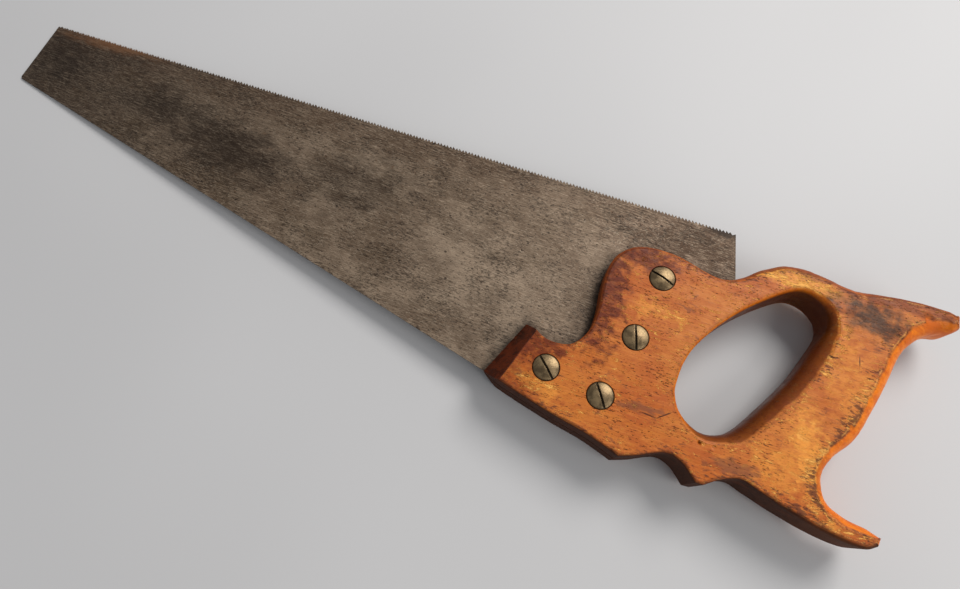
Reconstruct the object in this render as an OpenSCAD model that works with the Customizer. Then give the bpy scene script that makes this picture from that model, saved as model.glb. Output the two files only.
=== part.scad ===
// Panel saw: a tapered, toothed steel plate let into a closed wooden handle
// and held by four brass bolts with domed, slotted nuts.
//
// Everything is drawn in the plate's own axes first: X from the heel towards
// the toe along the tooth line, Y from the teeth towards the back, Z out of
// the side with the nuts, with zero at the heel's tooth corner in the middle
// of the plate. place() then moves it so that the origin lies under the middle
// of the whole saw, at its lowest point.

/* [Plate] */
// Length along the tooth line, 16 inches
tooth_line = 406.4; // [390:0.1:420]
// Width of the plate at the toe
toe_width = 40; // [36:0.5:44]
// Width of the plate at the heel, measured on to the line of the back
heel_width = 135; // [134:0.5:136]
// Thickness of the steel
plate_thickness = 0.9; // [0.7:0.05:1.2]
// Distance from tooth to tooth
tooth_pitch = 1.8; // [1.6:0.1:3]
// Lean of the leading face of a tooth, in degrees from upright
front_lean = 15; // [5:1:20]
// Lean of the trailing face of a tooth, in degrees from upright
back_lean = 45; // [40:1:50]
// Plain stretch before the first tooth and after the last
tooth_margin = 1.6; // [1:0.1:4]
// How far the heel leans back where it goes into the handle
heel_lean = 6; // [4:0.5:7]

/* [Handle] */
// Thickness of the wood
handle_thickness = 22; // [20:0.5:24]
// Rounding of the upright edges at the nose
nose_rounding = 0.8; // [0.5:0.1:1.2]
// Tallest rounding of an edge, measured down from the cheek
tallest_rounding = 8; // [5:0.5:9]
// Clearance between the plate's faces and the slot
slot_clearance = 0.05; // [0.02:0.01:0.1]

/* [Bolts and nuts] */
// Diameter of the domed heads
head_d = 12.5; // [11:0.1:13.5]
// How far the edge of a head is let into the cheek
head_sunk = 1.6; // [1:0.1:2.5]
// Rise of the dome above the cheek
dome_rise = 1.2; // [0.8:0.1:2]
// Diameter of the bolt's thread
thread_d = 4.4; // [4:0.1:4.8]
// Distance from ridge to ridge of the thread
thread_pitch = 0.8; // [0.7:0.05:1.2]
// Side of the square neck under the bolt's head
neck_side = 5.4; // [5:0.1:6]
// Length of the square neck below the sunk part of the head
neck_length = 3.5; // [2:0.5:5]
// Outer diameter of the nut's barrel
barrel_d = 6.4; // [6:0.1:7]
// Width of the screwdriver slot in the nut
driver_slot = 1.1; // [0.8:0.1:1.4]
// Depth of the screwdriver slot, measured from the top of the dome
driver_depth = 1.7; // [1.2:0.1:2]

/* [Hidden] */

half = handle_thickness / 2;
head_r = head_d / 2;
clear = 0.1;          // gap all round a head or neck in its recess
reach = 5;            // how far a cutting shape runs past the surface it opens
bore_fn = 48;

// Slope of the back: how much wider the plate gets for each mm towards the heel.
back_slope = (heel_width - toe_width) / tooth_line;
function back_y(x) = toe_width + (tooth_line - x) * back_slope;

// Place of each bolt, and the angle at which its nut's slot came to rest.
bolts = [[31.7, 42], [36.5, 75.2], [71.7, 103], [44.6, 107.2]];
slot_turns = [161, 107, 136, 123];

// ---- Curves ----

// A smooth curve through a list of points, from the first to the last. The
// entries may carry more values than x and y; all are carried along.
function clamp_index(i, n) = max(0, min(n - 1, i));
function spline_at(a, b, c, d, t) =
    (2 * b + (c - a) * t + (2 * a - 5 * b + 4 * c - d) * t * t
        + (3 * b - a - 3 * c + d) * t * t * t) / 2;
function flat_length(a, b) = norm([b[0] - a[0], b[1] - a[1]]);
function spline(p, step, closed = false) =
    let (n = len(p), last = closed ? n - 1 : n - 2)
    [for (i = [0 : last])
        let (a = closed ? p[(i + n - 1) % n] : p[clamp_index(i - 1, n)],
             b = p[i],
             c = p[(i + 1) % n],
             d = closed ? p[(i + 2) % n] : p[clamp_index(i + 2, n)],
             parts = max(1, ceil(flat_length(b, c) / step)))
        for (k = [0 : parts - 1]) spline_at(a, b, c, d, k / parts)];

// Each entry of an outline is [x, y, r]: a point on the edge halfway through
// the wood, and how far the rounding takes the edge in by the time it reaches
// the cheek. The outline runs counter-clockwise, in stretches that meet at the
// handle's sharp corners.
nose_bottom = [99, 112.2, nose_rounding];
cusp = [30, 130.3, 1];
nib_front = [-4.5, 129.8, 0.8];
nib_rear = [-8, 129.6, 0.8];
lower_horn = [-84.6, 129, 2];
lower_horn_end = [-85.4, 125, 2];
upper_horn_end = [-109.4, 18, 2.8];
upper_horn = [-109, 12.4, 2.4];
nose_top = [87, 83, nose_rounding];
back_edge = [nose_bottom, [90, 116, 1], [64, 122.3, 1], [45, 125.9, 1], cusp];
cusp_to_nib = [cusp, [22, 127.2, 1], [11, 122, 1], [3, 123.6, 1], nib_front];
nib_to_horn = [nib_rear, [-15, 124.8, 1], [-23, 122, 1], [-31, 124, 1], [-45, 127.8, 1.4],
               [-60, 130.9, 1.8], [-71, 132.1, 2], [-79, 131.7, 2.2], lower_horn];
grip_rear = [lower_horn_end, [-78, 123.3, 3.8], [-70, 122, 4.4], [-62, 118.8, 5],
             [-58.3, 112.5, 5.5], [-58.2, 105, 5.5], [-61.9, 97.2, 6], [-69.6, 87.2, 6.5],
             [-75, 73, 6.5], [-80, 57, 6.5], [-84.6, 40, 6.5], [-90, 31.2, 7],
             [-95.6, 25.6, 6.8], [-101, 22.4, 5.4], [-106, 20.8, 4.4], upper_horn_end];
horn_to_lobe = [upper_horn, [-102, 11.9, 2], [-88, 12, 2], [-74, 13.4, 2.4],
                [-58, 15.3, 3.4], [-45, 13.3, 4], [-34, 12.1, 4], [-24, 13.7, 4],
                [-14, 19.7, 3.5], [-6, 27, 2.5], [2, 31.5, 1.8], [12, 31, 1.6],
                [25, 27.4, 1.8], [36, 26.6, 2], [47, 28.8, 2], [54.5, 35, 2],
                [57.8, 44, 1.8], [58, 55, 1.5], [56.8, 68, 1.2], [58, 79, 1.2],
                [63, 87.3, 1], [70, 89.8, 1], [78, 88.8, 1], nose_top];
outline_step = 6;
outline = concat(spline(back_edge, outline_step), spline(cusp_to_nib, outline_step),
                 [nib_front], spline(nib_to_horn, outline_step), [lower_horn],
                 spline(grip_rear, outline_step), [upper_horn_end],
                 spline(horn_to_lobe, outline_step), [nose_top]);

// The hand hole, counter-clockwise, with the same meaning for its values.
hole_keys = [[13, 88, 1.5], [12.4, 95, 1.6], [8, 102.4, 2.4], [-1, 107, 3.8],
             [-10, 105.8, 4.8], [-18.6, 99.3, 5.5], [-28, 85.2, 6], [-38, 67.9, 6],
             [-45.6, 49.5, 6], [-49.4, 38, 4.2], [-46.5, 30, 3], [-38.5, 25.2, 2.3],
             [-29, 27, 2], [-12, 41.2, 1.7], [0, 55.3, 1.5], [8.5, 69, 1.5], [12, 79, 1.5]];
hole = spline(hole_keys, 7, closed = true);

// Unit vector pointing to the left of the way an outline runs, which is into
// the wood for the outline and out of the wood for the hole.
function xy(p) = [p[0], p[1]];
function unit(v) = v / norm(v);
function left_of(p, i) =
    let (n = len(p),
         before = unit(xy(p[i]) - xy(p[(i + n - 1) % n])),
         after = unit(xy(p[(i + 1) % n]) - xy(p[i])),
         along = unit(before + after))
    [-along[1], along[0]];
function inset(p, share) = [for (i = [0 : len(p) - 1]) xy(p[i]) + share * p[i][2] * left_of(p, i)];

// The rounded edges are cut in steps that follow a quarter of an ellipse. Each
// step has the height where it starts and ends, measured from the middle of
// the wood, and its share of the full rounding.
steps = 4;
function step_height(k) = half - tallest_rounding * (1 - sin(90 * k / steps));
function step_share(k) = 1 - cos(90 * (k + 0.5) / steps);

// ---- The saw's lowest point and middle, for the origin ----

low_x = min([for (p = outline) p[0]]);
high_y = max([for (p = outline) p[1]]);
middle = [(low_x + tooth_line) / 2, high_y / 2];
module place() {
    translate([-middle[0], -middle[1], half + dome_rise]) children();
}

// ---- Plate ----

tooth_depth = tooth_pitch / (tan(front_lean) + tan(back_lean));
tooth_count = floor((tooth_line - 2 * tooth_margin) / tooth_pitch);
first_tooth = (tooth_line - tooth_count * tooth_pitch) / 2;

// The plate's end inside the handle, from the heel round to the back.
heel_entry = [-heel_lean, 31];
hidden_end = [[2, 36], [24, 68], [26, 100], [26, back_y(26)]];

module plate_outline() {
    teeth = [for (i = [0 : tooth_count - 1])
        let (x = first_tooth + i * tooth_pitch)
        each [[x, tooth_depth], [x + tooth_depth * tan(back_lean), 0]]];
    last_gullet = [first_tooth + tooth_count * tooth_pitch, tooth_depth];
    end_flat = 0.4;
    polygon(concat([[0, end_flat]], teeth,
                   [last_gullet, [tooth_line - end_flat, end_flat], [tooth_line, 2 * end_flat],
                    [tooth_line, toe_width - 1], [tooth_line - 1, back_y(tooth_line - 1)],
                    hidden_end[3], hidden_end[2], hidden_end[1], hidden_end[0], heel_entry]));
}

module saw_plate() {
    plate_hole_d = thread_d + 0.8;
    color([0.42, 0.38, 0.34]) place() difference() {
        linear_extrude(plate_thickness, center = true) plate_outline();
        for (b = bolts) translate(b)
            cylinder(h = plate_thickness + 2, d = plate_hole_d, center = true, $fn = bore_fn);
    }
}

// ---- Handle ----

// The saw cut that takes the plate, open at the nose, the lobe and the back.
module plate_slot() {
    gap = 0.4;
    linear_extrude(plate_thickness + 2 * slot_clearance, center = true)
        polygon([[tooth_line, -20], heel_entry + [-gap, -51], heel_entry + [-gap, gap],
                 hidden_end[0] + [-gap, gap], hidden_end[1] + [-gap, gap / 2],
                 hidden_end[2] + [-gap, 0], [hidden_end[3][0] - gap, 150], [tooth_line, 150]]);
}

// The stepped hole for one bolt: two head recesses, a square for the neck on
// one side, and a round bore for the barrel on the other.
module bolt_holes() {
    recess_r = head_r + clear;
    for (side = [-1, 1]) translate([0, 0, side * (half - head_sunk + reach / 2)])
        cylinder(h = reach, r = recess_r, center = true, $fn = bore_fn);
    cylinder(h = half, d = barrel_d + 2 * clear, $fn = bore_fn);
    translate([0, 0, -half]) cylinder(h = half, d = thread_d + 0.6, $fn = bore_fn);
    square_side = neck_side + 2 * clear;
    translate([-square_side / 2, -square_side / 2, -half])
        cube([square_side, square_side, head_sunk + neck_length + clear]);
}

module wood_blank() {
    for (k = [0 : steps - 1]) linear_extrude(2 * step_height(k + 1), center = true)
        polygon(inset(outline, step_share(k)));
}

// The hand hole: upright through the middle and wider in steps at each cheek.
module hand_hole() {
    linear_extrude(2 * (half + reach), center = true) polygon(inset(hole, 0));
    for (side = [-1, 1]) for (k = [0 : steps - 1])
        translate([0, 0, side * (step_height(k) + reach)])
            linear_extrude(2 * reach, center = true) polygon(inset(hole, -step_share(k)));
}

module handle() {
    color([0.72, 0.42, 0.2]) place() difference() {
        wood_blank();
        hand_hole();
        plate_slot();
        for (b = bolts) translate(b) bolt_holes();
    }
}

// ---- Bolts and nuts ----

// Half of a head's section: an upright rim below the cheek and a dome above.
// Heights are measured from the underside of the head.
module head_section() {
    dome_r = (head_r * head_r + dome_rise * dome_rise) / (2 * dome_rise);
    edge = asin(head_r / dome_r);
    dome = [for (k = [0 : 8])
        let (a = edge * (1 - k / 8))
        [dome_r * sin(a), head_sunk + dome_rise - dome_r * (1 - cos(a))]];
    polygon(concat([[0, 0], [head_r, 0]], dome));
}

bolt_end = half - head_sunk - 1.5;
module bolt(index) {
    thread_r = thread_d / 2;
    core_r = thread_r - 0.3;
    thread_start = plate_thickness;
    ridges = floor((bolt_end - thread_start) / thread_pitch);
    color([0.6, 0.5, 0.3]) place() translate(bolts[index]) {
        translate([0, 0, -half + head_sunk]) mirror([0, 0, 1])
            rotate_extrude($fn = 64) head_section();
        translate([-neck_side / 2, -neck_side / 2, -half + head_sunk])
            cube([neck_side, neck_side, neck_length]);
        translate([0, 0, -half + head_sunk])
            cylinder(h = half - head_sunk + thread_start, r = thread_r, $fn = bore_fn);
        cylinder(h = bolt_end, r = core_r, $fn = bore_fn);
        for (k = [0 : ridges - 1]) translate([0, 0, thread_start + k * thread_pitch])
            rotate_extrude($fn = bore_fn)
                polygon([[0, 0], [core_r, 0], [thread_r, thread_pitch / 2],
                         [core_r, thread_pitch], [0, thread_pitch]]);
    }
}

module nut(index) {
    barrel_end = 1.5;
    barrel_h = half - head_sunk - barrel_end;
    bore_d = thread_d + 0.1;
    color([0.6, 0.5, 0.3]) place() translate(bolts[index]) difference() {
        union() {
            translate([0, 0, half - head_sunk]) rotate_extrude($fn = 64) head_section();
            translate([0, 0, barrel_end]) cylinder(h = barrel_h, d = barrel_d, $fn = bore_fn);
        }
        translate([0, 0, barrel_end - reach])
            cylinder(h = bolt_end + 0.5 - barrel_end + reach, d = bore_d, $fn = bore_fn);
        rotate(slot_turns[index])
            translate([-head_d, -driver_slot / 2, half + dome_rise - driver_depth])
                cube([2 * head_d, driver_slot, reach]);
    }
}

module saw_bolt_1() { bolt(0); }
module saw_bolt_2() { bolt(1); }
module saw_bolt_3() { bolt(2); }
module saw_bolt_4() { bolt(3); }
module saw_nut_1() { nut(0); }
module saw_nut_2() { nut(1); }
module saw_nut_3() { nut(2); }
module saw_nut_4() { nut(3); }

saw_plate();
handle();
saw_bolt_1();
saw_bolt_2();
saw_bolt_3();
saw_bolt_4();
saw_nut_1();
saw_nut_2();
saw_nut_3();
saw_nut_4();
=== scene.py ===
"""Looks for a 16-inch panel saw: a toothed steel plate in a closed wooden handle with four brass bolts.

Shapes are worked out in the plate's own axes, in millimetres: X from the heel towards the toe along
the tooth line, Y from the teeth towards the back, Z out of the side with the slotted nuts, zero at
the heel's tooth corner in the middle of the plate. to_row() turns them into the frame's metres.
"""
from contextlib import contextmanager
from functools import partialmethod
import math
from types import SimpleNamespace

import bmesh
import bpy
import numpy as np
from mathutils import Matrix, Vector, noise
from mathutils.geometry import delaunay_2d_cdt
from mathutils.kdtree import KDTree


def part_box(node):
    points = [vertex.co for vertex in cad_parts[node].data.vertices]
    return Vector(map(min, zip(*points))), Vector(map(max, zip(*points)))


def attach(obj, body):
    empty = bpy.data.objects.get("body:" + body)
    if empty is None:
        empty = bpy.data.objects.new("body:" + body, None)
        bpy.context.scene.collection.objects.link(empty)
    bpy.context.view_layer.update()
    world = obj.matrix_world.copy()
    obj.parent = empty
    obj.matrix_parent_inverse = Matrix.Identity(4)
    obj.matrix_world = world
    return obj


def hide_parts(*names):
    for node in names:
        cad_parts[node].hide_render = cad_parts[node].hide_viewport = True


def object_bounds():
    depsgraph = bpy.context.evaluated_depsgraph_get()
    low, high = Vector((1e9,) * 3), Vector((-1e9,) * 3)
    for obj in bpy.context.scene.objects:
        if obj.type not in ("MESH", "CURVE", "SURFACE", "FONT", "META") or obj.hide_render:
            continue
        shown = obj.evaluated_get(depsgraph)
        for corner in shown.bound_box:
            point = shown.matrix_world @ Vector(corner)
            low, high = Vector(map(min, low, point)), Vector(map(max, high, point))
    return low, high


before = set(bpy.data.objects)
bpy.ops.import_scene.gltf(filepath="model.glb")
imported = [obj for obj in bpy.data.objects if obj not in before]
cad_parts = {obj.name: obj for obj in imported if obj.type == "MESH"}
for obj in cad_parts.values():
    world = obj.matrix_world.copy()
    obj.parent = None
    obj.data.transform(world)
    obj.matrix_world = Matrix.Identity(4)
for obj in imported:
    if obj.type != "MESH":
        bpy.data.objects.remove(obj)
CAD_BOX = [list(corner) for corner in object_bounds()]

# ---- Sizes, in millimetres ----
MM = 0.001
TOOTH_LINE = 406.4
TOE_WIDTH = 40.0
HEEL_WIDTH = 135.0
TOOTH_PITCH = 1.8
TOOTH_MARGIN = 1.6
FRONT_LEAN = math.radians(15)
BACK_LEAN = math.radians(45)
TALLEST_ROUNDING = 8.0
BEVEL_TOP = 6.7
BEVEL_FOOT = 9.2
BEVEL_EDGE = 0.55
HEAD_R = 6.25
HEAD_SUNK = 1.6
DOME_RISE = 1.2
DOME_R = (HEAD_R ** 2 + DOME_RISE ** 2) / (2 * DOME_RISE)
THREAD_R = 2.2
CORE_R = 1.9
THREAD_PITCH = 0.8
NECK_HALF = 2.7
NECK_LENGTH = 3.5
BARREL_R = 3.2
BARREL_START = 1.5
DRIVER_SLOT = 1.1
DRIVER_DEPTH = 1.7
PLATE_HOLE_R = 2.6
BOLTS = [(31.7, 42), (36.5, 75.2), (71.7, 103), (44.6, 107.2)]
SLOT_TURNS = [161, 107, 136, 123]

plate_lo, plate_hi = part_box("saw_plate")
wood_lo, wood_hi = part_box("handle")
ORIGIN = Vector((plate_hi[0] - TOOTH_LINE * MM, plate_lo[1], (plate_lo[2] + plate_hi[2]) / 2))
PLATE_HALF = (plate_hi[2] - plate_lo[2]) / 2 / MM
HALF = (wood_hi[2] - wood_lo[2]) / 2 / MM
UNDER_HEAD = HALF - HEAD_SUNK
BACK_SLOPE = (HEEL_WIDTH - TOE_WIDTH) / TOOTH_LINE

# The handle's edge halfway through the wood: x, y and how far the rounding
# takes the edge in by the time it reaches the cheek. Anticlockwise, in
# stretches that meet at sharp corners.
NOSE_BOTTOM = (99, 112.2, 0.8)
CUSP = (30, 130.3, 1)
NIB_FRONT = (-4.5, 129.8, 0.8)
NIB_REAR = (-8, 129.6, 0.8)
LOWER_HORN = (-84.6, 129, 2)
LOWER_HORN_END = (-85.4, 125, 2)
UPPER_HORN_END = (-109.4, 18, 2.8)
UPPER_HORN = (-109, 12.4, 2.4)
NOSE_TOP = (87, 83, 0.8)
STRETCHES = [
    [NOSE_BOTTOM, (90, 116, 1), (64, 122.3, 1), (45, 125.9, 1), CUSP],
    [CUSP, (22, 127.2, 1), (11, 122, 1), (3, 123.6, 1), NIB_FRONT],
    [NIB_FRONT, NIB_REAR],
    [NIB_REAR, (-15, 124.8, 1), (-23, 122, 1), (-31, 124, 1), (-45, 127.8, 1.4),
     (-60, 130.9, 1.8), (-71, 132.1, 2), (-79, 131.7, 2.2), LOWER_HORN],
    [LOWER_HORN, LOWER_HORN_END],
    [LOWER_HORN_END, (-78, 123.3, 3.8), (-70, 122, 4.4), (-62, 118.8, 5),
     (-58.3, 112.5, 5.5), (-58.2, 105, 5.5), (-61.9, 97.2, 6), (-69.6, 87.2, 6.5),
     (-75, 73, 6.5), (-80, 57, 6.5), (-84.6, 40, 6.5), (-90, 31.2, 7),
     (-95.6, 25.6, 6.8), (-101, 22.4, 5.4), (-106, 20.8, 4.4), UPPER_HORN_END],
    [UPPER_HORN_END, UPPER_HORN],
    [UPPER_HORN, (-102, 11.9, 2), (-88, 12, 2), (-74, 13.4, 2.4),
     (-58, 15.3, 3.4), (-45, 13.3, 4), (-34, 12.1, 4), (-24, 13.7, 4),
     (-14, 19.7, 3.5), (-6, 27, 2.5), (2, 31.5, 1.8), (12, 31, 1.6),
     (25, 27.4, 1.8), (36, 26.6, 2), (47, 28.8, 2), (54.5, 35, 2),
     (57.8, 44, 1.8), (58, 55, 1.5), (56.8, 68, 1.2), (58, 79, 1.2),
     (63, 87.3, 1), (70, 89.8, 1), (78, 88.8, 1), NOSE_TOP],
    [NOSE_TOP, NOSE_BOTTOM],
]
# The edge of the hand hole, in the same form.
HOLE_KEYS = [(13, 88, 1.5), (12.4, 95, 1.6), (8, 102.4, 2.4), (-1, 107, 3.8),
             (-10, 105.8, 5.4), (-18.6, 99.3, 6.6), (-28, 85.2, 7.4), (-38, 67.9, 7.4),
             (-45.6, 49.5, 6.8), (-49.4, 38, 4.6), (-46.5, 30, 3), (-38.5, 25.2, 2.3),
             (-29, 27, 2), (-12, 41.2, 1.7), (0, 55.3, 1.5), (8.5, 69, 1.5), (12, 79, 1.5)]
# The plate's end inside the handle, from the heel round to the back.
HIDDEN_END = [(-6, 31), (2, 36), (24, 68), (26, 100)]

# Chips in the handle's arrises: place, radius and depth.
CHIPS = [((-2.5, 112.5), 1.6, 1.3), ((-8.5, 111.9), 1.1, 0.8), ((-55, 41), 1.3, 0.9),
         ((22.6, 28.6), 1.2, 0.8), ((-92, 19.6), 2.2, 0.9), ((-104, 14.6), 1.8, 0.8),
         ((-71, 68), 1.6, 0.7), ((-64.5, 83), 1.8, 0.8), ((33, 129.5), 1.5, 0.8),
         ((-60, 15.5), 1.6, 0.6), ((80, 117), 1.6, 0.7), ((-45, 127.5), 1.6, 0.6)]


# ---- Curves and outlines ----

RIM_GAP = 0.7
ROW_SHARE = 0.87
UNEVEN = 0.12


def back_y(x):
    """The plate's back edge above a point on the tooth line."""
    return TOE_WIDTH + (TOOTH_LINE - x) * BACK_SLOPE


def spline(keys, step, closed=False):
    """Points about step apart along a smooth curve through keys, without the last key of an open curve."""
    p = np.array(keys, float)
    n = len(p)
    out = []
    for i in range(n if closed else n - 1):
        if closed:
            a, b, c, d = (p[(i + k) % n] for k in (-1, 0, 1, 2))
        else:
            a, b, c, d = (p[min(max(i + k, 0), n - 1)] for k in (-1, 0, 1, 2))
        parts = max(1, math.ceil(np.hypot(*(c - b)[:2]) / step))
        for t in np.arange(parts) / parts:
            out.append((2 * b + (c - a) * t + (2 * a - 5 * b + 4 * c - d) * t ** 2
                        + (3 * b - a - 3 * c + d) * t ** 3) / 2)
    return np.array(out)


def unit(vectors):
    """The same vectors at length 1."""
    return vectors / np.linalg.norm(vectors, axis=1)[:, None]


def left_of(p):
    """Unit vectors to the left of the way a closed outline runs, one for each point."""
    along = unit(unit(p - np.roll(p, 1, axis=0)) + unit(np.roll(p, -1, axis=0) - p))
    return np.stack([-along[:, 1], along[:, 0]], axis=1)


def to_row(points):
    """Millimetres in the plate's axes to metres in the frame."""
    return [ORIGIN + Vector(p) * MM for p in points]


def flattened(points):
    """The same points at height zero."""
    return [(p[0], p[1], 0) for p in points]


def nearest_distance(points, targets):
    """Distance in mm from each point to the nearest of the targets."""
    tree = KDTree(len(targets))
    for i, target in enumerate(targets):
        tree.insert(target, i)
    tree.balance()
    return np.array([tree.find(p)[2] for p in points])


def inside(points, loop):
    """Which points lie inside a closed loop, by counting crossings."""
    x, y = points[:, 0], points[:, 1]
    hit = np.zeros(len(points), bool)
    for (x0, y0), (x1, y1) in zip(loop, np.roll(loop, -1, axis=0)):
        spans = (y0 > y) != (y1 > y)
        if spans.any():
            cross = x0 + (y[spans] - y0) * (x1 - x0) / (y1 - y0)
            hit[spans] ^= x[spans] < cross
    return hit


def between(points, outer, holes):
    """Which points lie inside outer and outside every hole."""
    keep = inside(points, outer)
    for hole in holes:
        keep &= ~inside(points, hole)
    return keep


def fill_between(outer, holes, grid):
    """Triangles over the area inside outer and outside the holes, with the grid's points inside it.
    Returns the points, the triangles and the numbers of the loops' points, in order."""
    points, edges = [], []
    for loop in [outer] + holes:
        start = len(points)
        points += [Vector(q) for q in loop]
        edges += [(start + i, start + (i + 1) % len(loop)) for i in range(len(loop))]
    rim_count = len(points)
    grid = grid[between(grid, outer, holes)]
    away = nearest_distance(flattened(grid), flattened(points))
    points += [Vector(q) for q in grid[away > RIM_GAP]]
    verts, _, faces, came_from, _, _ = delaunay_2d_cdt(points, edges, [], 0, 1e-5)
    verts = np.array([tuple(v) for v in verts])
    centres = np.array([verts[list(f)].mean(axis=0) for f in faces])
    wanted = between(centres, outer, holes)
    number = {old: new for new, olds in enumerate(came_from) for old in olds}
    return verts, [list(f) for f, w in zip(faces, wanted) if w], [number[i] for i in range(rim_count)]


def anticlockwise(face, flat):
    """A face of flat points with its corners in anticlockwise order, seen from above."""
    a, b, c = (flat[i] for i in face[:3])
    area = (b[0] - a[0]) * (c[1] - a[1]) - (b[1] - a[1]) * (c[0] - a[0])
    return face if area > 0 else face[::-1]


def hex_grid(low, high, step):
    """A slightly uneven grid of points over a rectangle, the same on every run."""
    rng = np.random.default_rng(7)
    xs = np.arange(low[0], high[0], step)
    ys = np.arange(low[1], high[1], step * ROW_SHARE)
    grid = np.array([(x + (j % 2) * step / 2, y) for j, y in enumerate(ys) for x in xs])
    return grid + rng.uniform(-UNEVEN, UNEVEN, grid.shape) * step


# ---- Meshes ----

WELD = 0.02


def placed(name, data):
    """A new object in the scene, for a mesh, a light or a camera."""
    obj = bpy.data.objects.new(name, data)
    bpy.context.collection.objects.link(obj)
    return obj


def new_object(name, verts, faces, smooth_deg=32):
    """A mesh object from points in mm, shaded smooth below an angle."""
    mesh = bpy.data.meshes.new(name)
    mesh.from_pydata(to_row(verts), [], [list(f) for f in faces])
    mesh.validate()
    obj = placed(name, mesh)
    shade(obj, smooth_deg)
    return obj


def shade(obj, smooth_deg):
    """Smooth shading, with edges sharper than an angle kept sharp."""
    for poly in obj.data.polygons:
        poly.use_smooth = True
    obj.data.set_sharp_from_angle(angle=math.radians(smooth_deg))


def apply_modifiers(obj):
    """Bakes the modifiers of an object into its mesh."""
    bpy.context.view_layer.update()
    depsgraph = bpy.context.evaluated_depsgraph_get()
    mesh = bpy.data.meshes.new_from_object(obj.evaluated_get(depsgraph))
    obj.modifiers.clear()
    old = obj.data
    obj.data = mesh
    mesh.name = obj.name
    bpy.data.meshes.remove(old)


def cut(obj, cutter):
    """Takes one closed mesh out of another."""
    mod = obj.modifiers.new("cut", "BOOLEAN")
    mod.operation = "DIFFERENCE"
    mod.solver = "EXACT"
    mod.object = cutter
    apply_modifiers(obj)
    bpy.data.objects.remove(cutter)


@contextmanager
def editing(obj):
    """An editable copy of an object's mesh, written back at the end."""
    work = bmesh.new()
    work.from_mesh(obj.data)
    yield work
    work.to_mesh(obj.data)
    work.free()


def fix_normals(obj):
    """Makes a closed mesh's faces point outwards."""
    with editing(obj) as work:
        bmesh.ops.recalc_face_normals(work, faces=work.faces)


def close_gaps(obj):
    """Merges points that coincide and fills the small gaps left where an outline turns tightly."""
    with editing(obj) as work:
        bmesh.ops.remove_doubles(work, verts=work.verts, dist=WELD * MM)
        bmesh.ops.holes_fill(work, edges=[edge for edge in work.edges if edge.is_boundary], sides=0)
        bmesh.ops.recalc_face_normals(work, faces=work.faces)


def in_mm(obj):
    """An object's points in mm, in the plate's axes."""
    flat = np.empty(len(obj.data.vertices) * 3)
    obj.data.vertices.foreach_get("co", flat)
    return (flat.reshape(-1, 3) - np.array(ORIGIN)) / MM


def set_attribute(obj, name, values):
    """One number for each point of a mesh, for the materials."""
    layer = obj.data.attributes.new(name, "FLOAT", "POINT")
    layer.data.foreach_set("value", np.asarray(values, float))


def band(low, high):
    """Faces between two rings of point numbers. A ring may also be a single point."""
    count = max(len(low), len(high))
    faces = []
    for k in range(count):
        j = (k + 1) % count
        corners = [low[k % len(low)], low[j % len(low)], high[j % len(high)], high[k % len(high)]]
        faces.append(list(dict.fromkeys(corners)))
    return [face for face in faces if len(face) > 2]


def stack(rings, start=0):
    """The points of rings of one size from low to high, the faces between them and the two ends' faces.
    Points are numbered from start."""
    count = len(rings[0])
    numbers = [list(range(start + k * count, start + (k + 1) * count)) for k in range(len(rings))]
    sides = [face for low, high in zip(numbers, numbers[1:]) for face in band(low, high)]
    return [tuple(p) for ring in rings for p in ring], sides, [numbers[0][::-1], numbers[-1]]


def upright(loop, low, high):
    """Points and faces of a closed upright prism over a loop."""
    verts, sides, ends = stack([[(x, y, z) for x, y in loop] for z in (low, high)])
    return verts, ends + sides


def lathe(profile, at, sides=96, down=False):
    """Points and faces of a closed solid turned about an upright axis. The profile is (radius, height)
    pairs that start and end on the axis."""
    verts, faces, rings = [], [], []
    flip = -1 if down else 1
    for r, z in profile:
        turns = [2 * math.pi * k / sides for k in range(sides)] if r > 1e-6 else [0.0]
        rings.append(list(range(len(verts), len(verts) + len(turns))))
        verts += [(at[0] + r * math.cos(a), at[1] + r * math.sin(a), flip * z) for a in turns]
    for low, high in zip(rings, rings[1:]):
        faces += [face[::flip] for face in band(low, high)]
    return verts, faces


def joined(name, parts):
    """One object from several point and face lists."""
    verts, faces = [], []
    for v, f in parts:
        base = len(verts)
        verts += v
        faces += [[base + i for i in face] for face in f]
    return new_object(name, verts, faces)


# ---- Node helpers for the materials ----

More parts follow.
